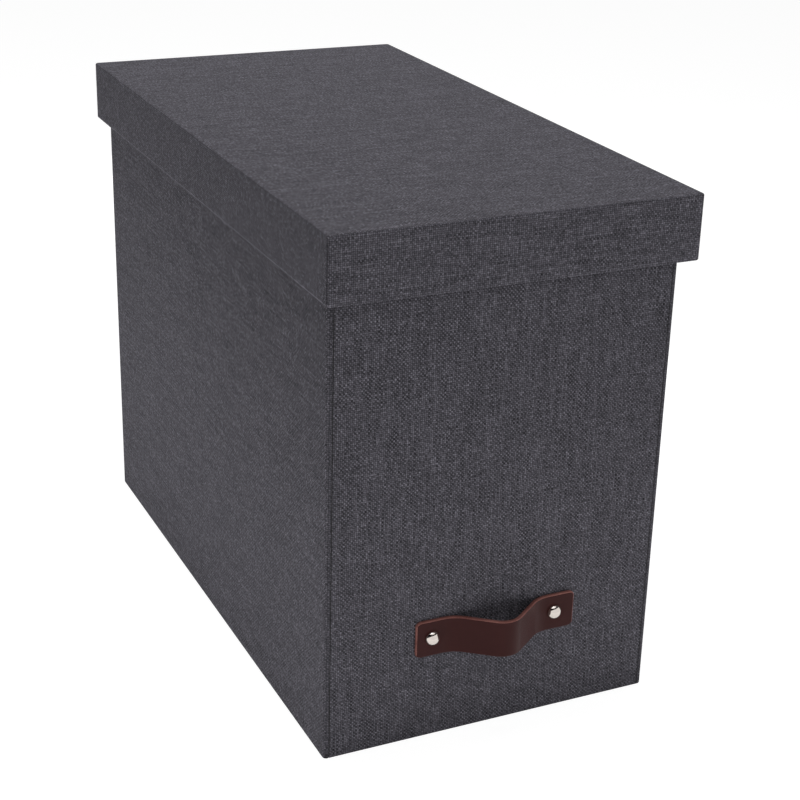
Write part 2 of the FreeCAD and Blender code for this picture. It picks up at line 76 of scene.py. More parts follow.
# The walls, bottom and lid are pasteboard, cut square and glued, and coloured near black: dark
# board, with painted shade for the seams where it shows. Cloth and paper hide it all, apart from
# what shows in a seam or past a lining's edge.
class Graph:
    """Adds nodes to one node tree, and links or fills their inputs."""

    # Numbers of a colour mix's sockets, whose names other sockets of that node share
    MIX_SHARE, MIX_FIRST, MIX_SECOND, MIX_COLOR = 0, 6, 7, 2

    def __init__(self, tree):
        self.tree = tree

    def link(self, value, socket):
        self.tree.links.new(value, socket)

    def node(self, kind, inputs=(), **settings):
        made = self.tree.nodes.new(kind)
        for name, value in settings.items():
            setattr(made, name, value)
        for key, value in dict(inputs).items():
            if isinstance(value, bpy.types.NodeSocket):
                self.link(value, made.inputs[key])
            else:
                made.inputs[key].default_value = value
        return made

    def math(self, operation, *terms):
        return self.node("ShaderNodeMath", enumerate(terms), operation=operation).outputs[0]

    def vector(self, operation, *terms):
        made = self.node("ShaderNodeVectorMath", enumerate(terms), operation=operation)
        return made.outputs["Value" if operation == "DOT_PRODUCT" else "Vector"]

    def sized(self, vector, size):
        """A vector or colour times one number."""
        made = self.node("ShaderNodeVectorMath", {0: vector, "Scale": size}, operation="SCALE")
        return made.outputs["Vector"]

    def split(self, vector):
        return self.node("ShaderNodeSeparateXYZ", {0: vector}).outputs

    def joined(self, *parts):
        return self.node("ShaderNodeCombineXYZ", enumerate(parts)).outputs[0]

    def mix(self, share, first, second):
        """A colour that goes from the first to the second as the share goes from 0 to 1."""
        made = self.node("ShaderNodeMix", {
            self.MIX_SHARE: share, self.MIX_FIRST: first, self.MIX_SECOND: second}, data_type="RGBA")
        return made.outputs[self.MIX_COLOR]

    def ramp(self, value, low, high, start=0.0, end=1.0):
        """Goes from start to end as the value goes from low to high, and stays there past them."""
        return self.node("ShaderNodeMapRange", {
            "Value": value, "From Min": low, "From Max": high, "To Min": start, "To Max": end,
        }).outputs["Result"]

    def noise(self, vector, scale, detail=2.0, output="Fac"):
        return self.node("ShaderNodeTexNoise", {
            "Vector": vector, "Scale": scale, "Detail": detail}).outputs[output]

    def spot(self):
        """Where a point of the surface is on its piece."""
        return self.node("ShaderNodeTexCoord").outputs["Object"]


def color(red, green, blue):
    return (red, green, blue, 1.0)


def shared_effect(name, inputs, outputs):
    """A node group with named sockets; gives its graph, its inputs and its outputs."""
    tree = bpy.data.node_groups.new(name, "ShaderNodeTree")
    for label, default in inputs.items():
        kind = "Float"
        if isinstance(default, tuple):
            kind = "Vector" if len(default) == 3 else "Color"
        made = tree.interface.new_socket(label, in_out="INPUT", socket_type=f"NodeSocket{kind}")
        made.default_value = default
    for label, kind in outputs.items():
        tree.interface.new_socket(label, in_out="OUTPUT", socket_type=f"NodeSocket{kind}")
    graph = Graph(tree)
    return graph, graph.node("NodeGroupInput").outputs, graph.node("NodeGroupOutput").inputs


def finish_of(name, **constants):
    """A material with a bare Principled shader; gives the material, its graph and the shader."""
    material = bpy.data.materials.new(name)
    material.use_nodes = True
    material.node_tree.nodes.clear()
    graph = Graph(material.node_tree)
    shader = graph.node("ShaderNodeBsdfPrincipled", {
        key.replace("_", " "): value for key, value in constants.items()})
    graph.link(shader.outputs[0], graph.node("ShaderNodeOutputMaterial").inputs["Surface"])
    return material, graph, shader


def bumped(graph, shader, height, distance, strength=1.0):
    """Raise a finish by a height, at most by a distance."""
    bump = graph.node("ShaderNodeBump", {"Height": height, "Distance": distance, "Strength": strength})
    graph.link(bump.outputs[0], shader.inputs["Normal"])


def dress(material, *names):
    """Give solids their material."""
    for name in names:
        mesh = nodes[name].data
        mesh.materials.clear()
        mesh.materials.append(material)


# Fibres and specks of pressed paper stock, for the board, the linings, the folders and the inserts
FIBRE_LAY = (1.0, 0.35, 0.8)
CLOUD_FINENESS = 0.06
CLOUD_SHARE = 0.8
SPECK_FINENESS = 2.1
SPECK_SHARE = 0.12
stock, given, result = shared_effect(
    "paper_stock",
    {"Ground": color(0.5, 0.5, 0.5), "Fibre": color(0.7, 0.7, 0.7), "Fibre Size": 0.0008,
     "Fibre Amount": 0.3},
    {"Color": "Color", "Height": "Float"})
spot = stock.spot()
fineness = stock.math("DIVIDE", 1.0, given["Fibre Size"])
matted = stock.noise(stock.vector("MULTIPLY", spot, FIBRE_LAY), fineness, detail=4.0)
cloudy = stock.noise(spot, stock.math("MULTIPLY", fineness, CLOUD_FINENESS))
specked = stock.noise(spot, stock.math("MULTIPLY", fineness, SPECK_FINENESS), detail=1.0)
specks = stock.math("MULTIPLY", stock.ramp(specked, low=0.62, high=0.74), SPECK_SHARE)
mottled = stock.math(
    "ADD", stock.ramp(matted, low=0.35, high=0.7), stock.math("MULTIPLY", cloudy, CLOUD_SHARE))
share = stock.math("ADD", stock.math("MULTIPLY", mottled, given["Fibre Amount"]), specks)
stock.link(stock.mix(share, given["Ground"], given["Fibre"]), result["Color"])
stock.link(matted, result["Height"])
PAPER_STOCK = stock.tree


def pressed_stock(graph, ground, fibre, fibre_size, amount):
    """Place the paper stock in a material; gives its colour and its height."""
    return graph.node("ShaderNodeGroup", {
        "Ground": ground, "Fibre": fibre, "Fibre Size": fibre_size, "Fibre Amount": amount,
    }, node_tree=PAPER_STOCK).outputs


def paper_finish(name, ground, fibre, fibre_size, amount, relief, roughness):
    """A material of pressed paper stock."""
    material, graph, shader = finish_of(name, Roughness=roughness)
    paper = pressed_stock(graph, ground, fibre, fibre_size, amount)
    graph.link(paper["Color"], shader.inputs["Base Color"])
    bumped(graph, shader, paper["Height"], relief)
    return material


# Painted shade: the board's colour is taken down to near black for the shade deep in the seams where it
# shows
greyboard = paper_finish(
    "greyboard", ground=color(0.022, 0.0215, 0.021), fibre=color(0.05, 0.049, 0.047),
    fibre_size=0.0012, amount=0.5, relief=0.00006, roughness=0.9)
dress(greyboard, "bottom_board", "left_board", "right_board", "front_board", "back_board",
      "lid_top_board", "lid_left_board", "lid_right_board", "lid_front_board", "lid_back_board")

# Matt black paper lines the floor, the walls and the underside of the lid, glued down after
# the cloth is turned in.
lining_paper = paper_finish(
    "lining_paper", ground=color(0.028, 0.028, 0.03), fibre=color(0.075, 0.075, 0.08),
    fibre_size=0.0007, amount=0.4, relief=0.00004, roughness=0.82)
dress(lining_paper, "floor_lining", "left_lining", "right_lining", "front_lining", "back_lining",
      "lid_lining")

# Book cloth covers everything outside: a plain weave of charcoal and grey threads, uneven in
# tone along the thread that shows most, glued to the board and folded over its edges. Each cover
# is told which way its flat side faces, and which way its uneven thread runs.
weave, given, result = shared_effect(
    "book_cloth",
    {"Face": (0.0, 0.0, 1.0), "Run": (1.0, 0.0, 0.0), "Across": (0.0, 1.0, 0.0),
     "Stitch": 0.00100, "Pitch": 0.00096, "Contrast": 0.20, "Wrapped": 1.0,
     "Dark": color(0.022, 0.021, 0.024), "Light": color(0.315, 0.302, 0.353),
     "Rub Level": 0.0, "Rub": 0.0, "Lean": -0.3, "Streak": 0.66, "Fleck": 0.28, "Fuzz": 0.36},
    {"Color": "Color", "Height": "Float"})

# Which way the surface faces, and a place on it that lets the threads run on over an edge: where
# the cloth has turned, the count goes on with its depth from the flat side.
place = weave.node("ShaderNodeTexCoord").outputs
face_x, face_y, face_z = weave.split(weave.vector("ABSOLUTE", place["Normal"]))
on_y = weave.math("GREATER_THAN", face_y, weave.math("MAXIMUM", face_x, face_z))
on_z = weave.math("GREATER_THAN", face_z, weave.math("MAXIMUM", face_x, face_y))
on_x = weave.math("SUBTRACT", weave.math("SUBTRACT", 1.0, on_y), on_z)
turned = weave.joined(on_x, on_y, on_z)
depth = weave.vector("DOT_PRODUCT", place["Object"], given["Face"])
unturned = weave.vector("SUBTRACT", (1.0, 1.0, 1.0), turned)
flat = weave.vector(
    "ADD", weave.vector("MULTIPLY", place["Object"], unturned), weave.sized(turned, depth))

# Threads counted along and across the weave, wavering a little as they do in cloth
WAVER = 0.9
WAVER_FINENESS = 34.0
wavering = weave.noise(flat, WAVER_FINENESS, detail=1.0, output="Color")
waver_x, waver_y, _ = weave.split(weave.vector("SUBTRACT", wavering, (0.5, 0.5, 0.5)))
along = weave.math("MULTIPLY_ADD", waver_x, WAVER, weave.math(
    "DIVIDE", weave.vector("DOT_PRODUCT", flat, given["Run"]), given["Stitch"]))
across = weave.math("MULTIPLY_ADD", waver_y, WAVER, weave.math(
    "DIVIDE", weave.vector("DOT_PRODUCT", flat, given["Across"]), given["Pitch"]))
run_index = weave.math("FLOOR", across)
cross_index = weave.math("FLOOR", along)

# Each thread's crown where it lies on top, and which of the two threads that is
OVER_EDGE = 0.2
CROWN_CURVE = 0.6
turn_along = weave.math("MULTIPLY", along, math.pi)
turn_across = weave.math("MULTIPLY", across, math.pi)
crossing = weave.math("MULTIPLY", weave.math("SINE", turn_along), weave.math("SINE", turn_across))
leaning = weave.math("MULTIPLY", given["Lean"], weave.math(
    "MULTIPLY", weave.math("COSINE", turn_along), weave.math("COSINE", turn_across)))
run_over = weave.ramp(crossing, low=-OVER_EDGE, high=OVER_EDGE)
cross_over = weave.math("SUBTRACT", 1.0, run_over)
crown = weave.math("POWER", weave.math("ABSOLUTE", crossing), CROWN_CURVE)


def thread_tone(length, index, fineness, amount):
    """How light a thread is along its own length, apart from its neighbours."""
    thread_apart = 3.7
    spun = weave.joined(weave.math("MULTIPLY", length, fineness),
                        weave.math("MULTIPLY", index, thread_apart))
    return weave.math("MULTIPLY", weave.math("SUBTRACT", weave.noise(spun, 1.0, detail=4.0), 0.5), amount)


# Uneven tone along the threads, weaker on an edge that the cloth is folded over
FOLDED_STREAK = 0.45
run_tone = thread_tone(along, run_index, fineness=0.045, amount=1.45)
cross_tone = thread_tone(across, cross_index, fineness=0.09, amount=0.72)
tone = weave.math("ADD", run_tone, weave.math(
    "MULTIPLY", weave.math("SUBTRACT", cross_tone, run_tone), cross_over))
folded = weave.vector("DOT_PRODUCT", turned, given["Run"])
uneven = weave.math("MULTIPLY", tone, weave.math(
    "MULTIPLY", given["Streak"], weave.ramp(folded, low=0.0, high=1.0, start=1.0, end=FOLDED_STREAK)))

# Light flecks, one chance to each crossing, and fuzz at half its size
FLECK_CURVE = 3.0
FUZZ_LAYER = 7.0
FUZZ_PER_THREAD = 2.0
cell = weave.joined(run_index, cross_index)
chance = weave.node("ShaderNodeTexWhiteNoise", {"Vector": cell}, noise_dimensions="2D").outputs["Value"]
fleck = weave.math("MULTIPLY", weave.math(
    "SUBTRACT", weave.math("POWER", chance, FLECK_CURVE), 1 / (FLECK_CURVE + 1)), given["Fleck"])
half_cell = weave.joined(weave.math("FLOOR", weave.math("MULTIPLY", across, FUZZ_PER_THREAD)),
                         weave.math("FLOOR", weave.math("MULTIPLY", along, FUZZ_PER_THREAD)),
                         FUZZ_LAYER)
glint = weave.node("ShaderNodeTexWhiteNoise", {"Vector": half_cell},
                   noise_dimensions="3D").outputs["Value"]
fuzz = weave.math("MULTIPLY", weave.math("SUBTRACT", glint, 0.5), given["Fuzz"])

# All of it added up, darkened towards the gaps between the thread crowns as painted shade, and
# curved so that light threads stand out of a dark ground
CLOUD_SPREAD = 0.08
MIDDLE_TONE = 0.56
GAP_SHADE = 0.4
TONE_CURVE = 1.7
cloudy = weave.math("MULTIPLY", weave.math("SUBTRACT", weave.noise(flat, scale=70.0), 0.5), CLOUD_SPREAD)
lattice = weave.math("MULTIPLY", weave.math(
    "SUBTRACT", weave.math("SUBTRACT", 0.5, run_over), leaning), given["Contrast"])
speckled = weave.math("ADD", uneven, weave.math("ADD", fleck, fuzz))
summed = weave.math("ADD", speckled, weave.math("ADD", lattice, cloudy))
lit = weave.math("MULTIPLY", weave.math("ADD", summed, MIDDLE_TONE),
                 weave.ramp(crown, low=0.0, high=0.8, start=GAP_SHADE))
lit = weave.math("POWER", weave.math("MAXIMUM", lit, 0.0), TONE_CURVE)

# Where the cloth is wrapped round to another face its tone is scaled by Wrapped: darker on the
# side covers, and lighter on the lid's skirts as painted light. A painted highlight runs along
# the lid's lower fold, on the faces that look sideways.
HIGHLIGHT_HALF = 0.0007
SIDEWAYS = 0.3
on_face = weave.vector("DOT_PRODUCT", turned, given["Face"])
lit = weave.math("MULTIPLY", lit, weave.ramp(on_face, low=0.0, high=1.0, start=given["Wrapped"]))
height = weave.split(place["Object"])[2]
off_fold = weave.math("ABSOLUTE", weave.math("SUBTRACT", height, given["Rub Level"]))
fold_highlight = weave.math("MULTIPLY", weave.ramp(off_fold, low=HIGHLIGHT_HALF, high=0.0), weave.math(
    "MULTIPLY", weave.math("GREATER_THAN", face_x, SIDEWAYS), given["Rub"]))
lit = weave.math("ADD", lit, fold_highlight)
weave.link(weave.mix(lit, given["Dark"], given["Light"]), result["Color"])
weave.link(crown, result["Height"])
BOOK_CLOTH = weave.tree
X, Y, Z = (1.0, 0.0, 0.0), (0.0, 1.0, 0.0), (0.0, 0.0, 1.0)
LID_HIGHLIGHT_HEIGHT = 0.0008


def cloth_finish(name, face, run, across, **values):
    """Book cloth whose flat side faces one axis and whose uneven thread runs along another."""
    material, graph, shader = finish_of(name, Roughness=0.9, Specular_IOR_Level=0.15)
    cloth = graph.node("ShaderNodeGroup", {
        "Face": face, "Run": run, "Across": across,
        **{key.replace("_", " "): value for key, value in values.items()},
    }, node_tree=BOOK_CLOTH).outputs
    graph.link(cloth["Color"], shader.inputs["Base Color"])
    bumped(graph, shader, cloth["Height"], distance=0.00012, strength=0.6)
    return material


side_cloth = cloth_finish(
    "side_cloth", face=X, run=Y, across=Z, Contrast=0.12, Wrapped=0.8, Streak=0.73)
end_cloth = cloth_finish("end_cloth", face=Y, run=Z, across=X, Streak=0.74)
bottom_cloth = cloth_finish("bottom_cloth", face=Z, run=Y, across=X)
dress(side_cloth, "left_cover", "right_cover")
dress(end_cloth, "front_cover", "back_cover")
dress(bottom_cloth, "bottom_cover")
# Painted highlight: a pale line along the lower fold of the lid's side skirts, just above its lowest point
lid_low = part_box("lid_cover")[0][2]
# Painted light: the lid's skirts, where its cloth is wrapped round, are made 8% lighter than its top
lid_cloth = cloth_finish(
    "lid_cloth", face=Z, run=X, across=Y, Contrast=0.09, Streak=0.78, Fleck=0.27, Fuzz=0.32,
    Wrapped=1.08, Rub=0.24, Rub_Level=lid_low + LID_HIGHLIGHT_HEIGHT)
dress(lid_cloth, "lid_cover")

# A zinc-plated steel channel is pressed over the top of each end wall, and carries the hooks
# of the files.
NOISE_LOW, NOISE_HIGH = 0.3, 0.7
plated, given, result = shared_effect(
    "plated_steel",
    {"Draw": (1.0, 0.02, 1.0), "Metal": color(0.6, 0.6, 0.61), "Roughness": 0.3},
    {"Color": "Color", "Roughness": "Float", "Height": "Float"})
spot = plated.spot()
drawn = plated.noise(plated.vector("MULTIPLY", spot, given["Draw"]), scale=3000.0, detail=3.0)
blotch = plated.noise(spot, scale=160.0, detail=3.0)
shade = plated.math("ADD", plated.ramp(drawn, NOISE_LOW, NOISE_HIGH, start=0.9, end=1.05),
                    plated.ramp(blotch, NOISE_LOW, NOISE_HIGH, start=-0.08, end=0.04))
dulled = plated.ramp(blotch, NOISE_LOW, NOISE_HIGH, start=-0.05, end=0.1)
plated.link(plated.sized(given["Metal"], shade), result["Color"])
plated.link(plated.math("ADD", given["Roughness"], dulled), result["Roughness"])
plated.link(drawn, result["Height"])
PLATED_STEEL = plated.tree


def steel_finish(name, draw, metal, roughness):
    """Plated steel with fine lines along the direction that it was drawn or rolled in."""
    material, graph, shader = finish_of(name, Metallic=1.0)
    steel = graph.node("ShaderNodeGroup", {"Draw": draw, "Metal": metal, "Roughness": roughness},
                       node_tree=PLATED_STEEL).outputs
    graph.link(steel["Color"], shader.inputs["Base Color"])
    graph.link(steel["Roughness"], shader.inputs["Roughness"])
    bumped(graph, shader, steel["Height"], distance=0.00001, strength=0.5)
    return material


rail_steel = steel_finish(
    "rail_steel", draw=(0.02, 1.0, 1.0), metal=color(0.40, 0.40, 0.41), roughness=0.42)
dress(rail_steel, "front_rail", "back_rail")

# The pull is a strap of dark brown leather, cut square with rounded corners. Its edges are left
# raw and rubbed round, so they show the red-brown hide, and its back is rough. The rivets hold
# both ends flat, and it bows out between them.
STRAP_THICKNESS = 0.0020
HALF_SPAN = 0.0285
FOOT_RADIUS = 0.0160
CROWN_RADIUS = 0.0103
STRAP_CORNER = 0.0028
RUBBED_EDGE = 0.0007
RAW_BAND = 0.0005
LOW_RAW_BAND = 0.0001
PRESSED_DEPTH = 0.00022
PRESSED_RING = 0.0022
WRINKLE_DEPTH = 0.00006
WRINKLE_FINENESS = 160
WRINKLE_LAYER = 5.0
EDGE_STEPS = 5
STRAP_STEP = 0.0007
ACROSS_STEPS = 18
strap_low, strap_high = (Vector(corner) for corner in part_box("pull_strap"))
strap_length = strap_high.x - strap_low.x
strap_width = strap_high.z - strap_low.z
strap_level = (strap_high.z + strap_low.z) / 2
strap_bow = strap_high.y - strap_low.y - STRAP_THICKNESS
rivets_low, rivets_high = (Vector(corner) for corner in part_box("pull_rivets"))
head_radius = (rivets_high.z - rivets_low.z) / 2
rivet_level = (rivets_high.z + rivets_low.z) / 2
rivet_places = (rivets_low.x + head_radius, rivets_high.x - head_radius)

# The strap's line from end to end: flat ends, a bend at each foot, straight flanks and the crown.
# Each stretch has its length and its bend, which is 1 over its radius.
both_radii = FOOT_RADIUS + CROWN_RADIUS
reach = math.hypot(HALF_SPAN, both_radii - strap_bow)
flank = math.sqrt(reach ** 2 - both_radii ** 2)
lean = math.atan2(HALF_SPAN, both_radii - strap_bow) - math.atan2(flank, both_radii)
flat_end = strap_length / 2 - HALF_SPAN
STRETCHES = (
    (flat_end, 0.0), (FOOT_RADIUS * lean, 1 / FOOT_RADIUS), (flank, 0.0),
    (CROWN_RADIUS * lean * 2, -1 / CROWN_RADIUS),
    (flank, 0.0), (FOOT_RADIUS * lean, 1 / FOOT_RADIUS), (flat_end, 0.0))
hide_length = sum(length for length, _ in STRETCHES)


def strap_line(distance):
    """Where the middle of the leather is, and how it heads, at a distance from the left end."""
    along, out, heading = strap_low.x, 0.0, 0.0
    for length, bend in STRETCHES:
        run = min(distance, length)
        turn = run * bend
        if bend:
            along += (math.sin(heading + turn) - math.sin(heading)) / bend
            out += (math.cos(heading) - math.cos(heading + turn)) / bend
        else:
            along += run * math.cos(heading)
            out += run * math.sin(heading)
        heading += turn
        distance -= run
    return along, out, heading


def rounded(distance, radius):
    """How far an outline that is rounded to a radius has drawn in at a distance from its end."""
    short = max(radius - distance, 0.0)
    return radius - math.sqrt(radius ** 2 - short ** 2)


def edge_rows(radius):
    """Distances from an edge that follow its rounding."""
    return [radius * (1 - math.cos(math.pi / 2 * step / EDGE_STEPS)) for step in range(EDGE_STEPS + 1)]


def pressed(along, height):
    """How deep the rivets' heads press the leather in, easing out over a ring round each."""
    clear = min(math.hypot(along - place, height - rivet_level) for place in rivet_places) - head_radius
    share = min(max(1 - clear / PRESSED_RING, 0.0), 1.0)
    return PRESSED_DEPTH * share * share * (3 - 2 * share)


def strap_point(station, row, side):
    """One point of the leather's face (side 1) or back (side -1)."""
    along, out, heading = strap_line(station)
    from_end = min(station, hide_length - station)
    half_width = strap_width / 2 - rounded(from_end, STRAP_CORNER)
    margin, sign, share = row
    inner = half_width - RUBBED_EDGE
    height = strap_level + (sign * (half_width - margin) if sign else inner * share)
    from_edge = min(margin, from_end)
    thick = STRAP_THICKNESS / 2 - rounded(from_edge, RUBBED_EDGE)
    wrinkle = 0.5 + 0.5 * noise.noise(Vector((
        station * WRINKLE_FINENESS, height * WRINKLE_FINENESS, side * WRINKLE_LAYER)))
    thick -= WRINKLE_DEPTH * wrinkle
    if side > 0:
        thick -= pressed(along, height)
    x = along - math.sin(heading) * thick * side
    y = strap_high.y - STRAP_THICKNESS / 2 - out - math.cos(heading) * thick * side
    return Vector((x, y, height))


# Stations run along the leather. A row has its margin to the lower (-1) or upper (1) edge, or
# for one between them (0) its share of the half width. The raw edge shows as a narrow band on
# the face too, narrower still along the lower edge.
end_rows = sorted(set(edge_rows(RUBBED_EDGE) + edge_rows(STRAP_CORNER)))
inner_length = hide_length - 2 * STRAP_CORNER
inner_count = round(inner_length / STRAP_STEP)
stations = end_rows + [
    STRAP_CORNER + inner_length * step / inner_count for step in range(1, inner_count)
] + [hide_length - row for row in reversed(end_rows)]
margins = edge_rows(RUBBED_EDGE)
rows = [(margin, -1, 0.0) for margin in margins]
rows += [(RUBBED_EDGE, 0, 2 * step / ACROSS_STEPS - 1) for step in range(1, ACROSS_STEPS)]
rows += [(margin, 1, 0.0) for margin in reversed(margins)]
leather = bmesh.new()
sheets = {side: [[leather.verts.new(strap_point(station, row, side)) for row in rows]
                 for station in stations] for side in (1, -1)}
FACE, RAW_EDGE, BACK = 0, 1, 2
last_station, last_row = len(stations) - 1, len(rows) - 1
for side, grid in sheets.items():
    for i in range(last_station):
        for j in range(last_row):
            corners = (grid[i][j], grid[i + 1][j], grid[i + 1][j + 1], grid[i][j + 1])
            face = leather.faces.new(corners if side > 0 else corners[::-1])
            from_end = min(stations[i], hide_length - stations[i + 1])
            from_edge = min(rows[j][0], rows[j + 1][0])
            inside = from_end > RAW_BAND and from_edge > (LOW_RAW_BAND if j < EDGE_STEPS else RAW_BAND)
            face.material_index = (FACE if side > 0 else BACK) if inside else RAW_EDGE
rim = ([(i, 0) for i in range(last_station)] + [(last_station, j) for j in range(last_row)]
       + [(i, last_row) for i in range(last_station, 0, -1)] + [(0, j) for j in range(last_row, 0, -1)])
for (i, j), (next_i, next_j) in zip(rim, rim[1:] + rim[:1]):
    face = leather.faces.new((sheets[-1][i][j], sheets[-1][next_i][next_j],
                              sheets[1][next_i][next_j], sheets[1][i][j]))
    face.material_index = RAW_EDGE


def placed(name, shaper, *materials):
    """Turn a bmesh into an object of the scene, with its materials."""
    mesh = bpy.data.meshes.new(name)
    shaper.to_mesh(mesh)
    shaper.free()
    for material in materials:
        mesh.materials.append(material)
    made = bpy.data.objects.new(name, mesh)
    scene.collection.objects.link(made)
    return made


def finished_piece(name, shaper, materials, body, slot, *replaced):
    """A smooth piece that rides on a body and stands for its solids."""
    for face in shaper.faces:
        face.smooth = True
    piece = placed(name, shaper, *materials)
    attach(piece, body)
    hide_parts(*replaced)


# Pores and creases of the hide, for the strap's face, raw edge and back
WARP_REACH = 0.0004
PATCH_SHARE = 0.6
FIBRE_SHARE = 0.4
FIBRE_RELIEF = 0.5
hide, given, result = shared_effect(
    "hide_grain",
    {"Ground": color(0.05, 0.02, 0.02), "Worn": color(0.09, 0.04, 0.035), "Stretch": (1.0, 1.0, 1.0),
     "Grain": 1500.0, "Patchy": 0.4},
    {"Color": "Color", "Height": "Float"})
spot = hide.vector("MULTIPLY", hide.spot(), given["Stretch"])
creased = hide.vector("SUBTRACT", hide.noise(spot, scale=900.0, output="Color"), (0.5, 0.5, 0.5))
warped = hide.vector("ADD", spot, hide.vector(
    "MULTIPLY", creased, (WARP_REACH, WARP_REACH, WARP_REACH)))
pores = hide.node("ShaderNodeTexVoronoi", {"Vector": warped, "Scale": given["Grain"]},
                  feature="DISTANCE_TO_EDGE").outputs["Distance"]
fibres = hide.noise(warped, scale=2600.0, detail=4.0)
patches = hide.ramp(hide.noise(spot, scale=120.0, detail=3.0), NOISE_LOW, NOISE_HIGH)
worn = hide.math("MULTIPLY", hide.math(
    "ADD", hide.math("MULTIPLY", patches, PATCH_SHARE),
    hide.math("MULTIPLY", hide.ramp(fibres, low=0.35, high=0.65), FIBRE_SHARE)), given["Patchy"])
hide.link(hide.mix(worn, given["Ground"], given["Worn"]), result["Color"])
hide.link(hide.math("ADD", hide.ramp(pores, low=0.0, high=0.2),
                    hide.math("MULTIPLY", fibres, FIBRE_RELIEF)), result["Height"])
HIDE_GRAIN = hide.tree


def leather_finish(name, ground, worn, stretch, grain, patchy, relief, **constants):
    """Leather with its own colours, size of grain and wear."""
    material, graph, shader = finish_of(name, **constants)
    skin = graph.node("ShaderNodeGroup", {
        "Ground": ground, "Worn": worn, "Stretch": stretch, "Grain": grain, "Patchy": patchy,
    }, node_tree=HIDE_GRAIN).outputs
    graph.link(skin["Color"], shader.inputs["Base Color"])
    bumped(graph, shader, skin["Height"], relief)
    return material


strap_face = leather_finish(
    "strap_leather_face", ground=color(0.039, 0.0092, 0.0086), worn=color(0.057, 0.0160, 0.0150),
    stretch=(1.0, 1.0, 1.0), grain=2200.0, patchy=0.5, relief=0.000012,
    Roughness=0.42, Specular_IOR_Level=0.12)
strap_edge = leather_finish(
    "strap_leather_edge", ground=color(0.15, 0.050, 0.043), worn=color(0.40, 0.18, 0.155),
    stretch=(0.35, 1.0, 1.0), grain=1500.0, patchy=0.8, relief=0.00005,
    Roughness=0.75, Specular_IOR_Level=0.25)
strap_back = leather_finish(
    "strap_leather_back", ground=color(0.11, 0.05, 0.04), worn=color(0.2, 0.11, 0.085),
    stretch=(1.0, 1.0, 1.0), grain=1200.0, patchy=0.9, relief=0.00008,
    Roughness=0.95, Specular_IOR_Level=0.1)
finished_piece("leather_strap", leather, (strap_face, strap_edge, strap_back), "box",
               "strap_leather", "pull_strap")

# Two rivets of polished nickel go through the strap and the front wall, and close into flat
# caps inside. Their domed heads press a little into the leather.
RIVET_RISE = 0.0030
RIVET_RIM = 0.0002
SHANK_RADIUS = 0.0015
CAP_ROUND = 0.0003
CAP_SOCKET = 0.0016
DISH_TOP = 0.45
DISH_FOOT = 0.38
AROUND = 72
DOME_STEPS = 16
CAP_STEPS = 4
caps_low, caps_high = (Vector(corner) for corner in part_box("rivet_caps"))
head_seat = rivets_low.y + RIVET_RISE
dome_radius = (head_radius ** 2 + RIVET_RISE ** 2) / (2 * RIVET_RISE)
dome_edge = math.asin((head_radius - RIVET_RIM) / dome_radius)
dome_profile = [(dome_radius * math.sin(dome_edge * step / DOME_STEPS),
                 rivets_low.y + dome_radius * (1 - math.cos(dome_edge * step / DOME_STEPS)))
                for step in range(DOME_STEPS + 1)]
dome_profile += [(head_radius, head_seat - RIVET_RIM / 2), (head_radius, head_seat + RIVET_RIM / 2),
                 (head_radius - RIVET_RIM, head_seat + RIVET_RIM), (SHANK_RADIUS, head_seat + RIVET_RIM),
                 (SHANK_RADIUS, rivets_high.y), (0.0, rivets_high.y)]
cap_radius = (caps_high.z - caps_low.z) / 2
cap_turns = [math.pi / 2 * step / CAP_STEPS for step in range(CAP_STEPS, -1, -1)]
cap_profile = [(0.0, rivets_high.y), (CAP_SOCKET, rivets_high.y), (CAP_SOCKET, caps_low.y),
               (cap_radius - CAP_ROUND, caps_low.y)]
cap_profile += [(cap_radius - CAP_ROUND * (1 - math.sin(turn)),
                 caps_high.y - CAP_ROUND * (1 - math.cos(turn))) for turn in cap_turns]
cap_profile += [(cap_radius * DISH_TOP, caps_high.y), (cap_radius * DISH_FOOT, caps_high.y - CAP_ROUND / 2),
                (0.0, caps_high.y - CAP_ROUND / 2)]


def turned_pair(profile):
    """Turn one profile of radius and depth about both rivets' axes; radius 0 is one point there."""
    shaper = bmesh.new()
    for place in rivet_places:
        rings = []
        for radius, depth in profile:
            if radius == 0.0:
                rings.append([shaper.verts.new((place, depth, rivet_level))] * AROUND)
                continue
            angles = (2 * math.pi * step / AROUND for step in range(AROUND))
            rings.append([shaper.verts.new((place + radius * math.cos(angle), depth,
                                            rivet_level + radius * math.sin(angle))) for angle in angles])
        for ring, following in zip(rings, rings[1:]):
            for step in range(AROUND):
                after = (step + 1) % AROUND
                corners = (ring[step], ring[after], following[after], following[step])
                shaper.faces.new(dict.fromkeys(corners))
    bmesh.ops.recalc_face_normals(shaper, faces=shaper.faces)
    return shaper


nickel, graph, shader = finish_of("rivet_nickel", Metallic=1.0)
spot = graph.spot()
haze = graph.noise(spot, scale=700.0, detail=3.0)
graph.link(graph.mix(haze, color(0.60, 0.54, 0.50), color(0.74, 0.68, 0.63)), shader.inputs["Base Color"])
graph.link(graph.ramp(haze, NOISE_LOW, NOISE_HIGH, start=0.05, end=0.13), shader.inputs["Roughness"])
bumped(graph, shader, graph.noise(spot, scale=5000.0), distance=0.0000015)
finished_piece("domed_rivets", turned_pair(dome_profile), (nickel,), "box", "rivet_nickel", "pull_rivets")
finished_piece("flat_rivet_caps", turned_pair(cap_profile), (nickel,), "box", "rivet_nickel", "rivet_caps")

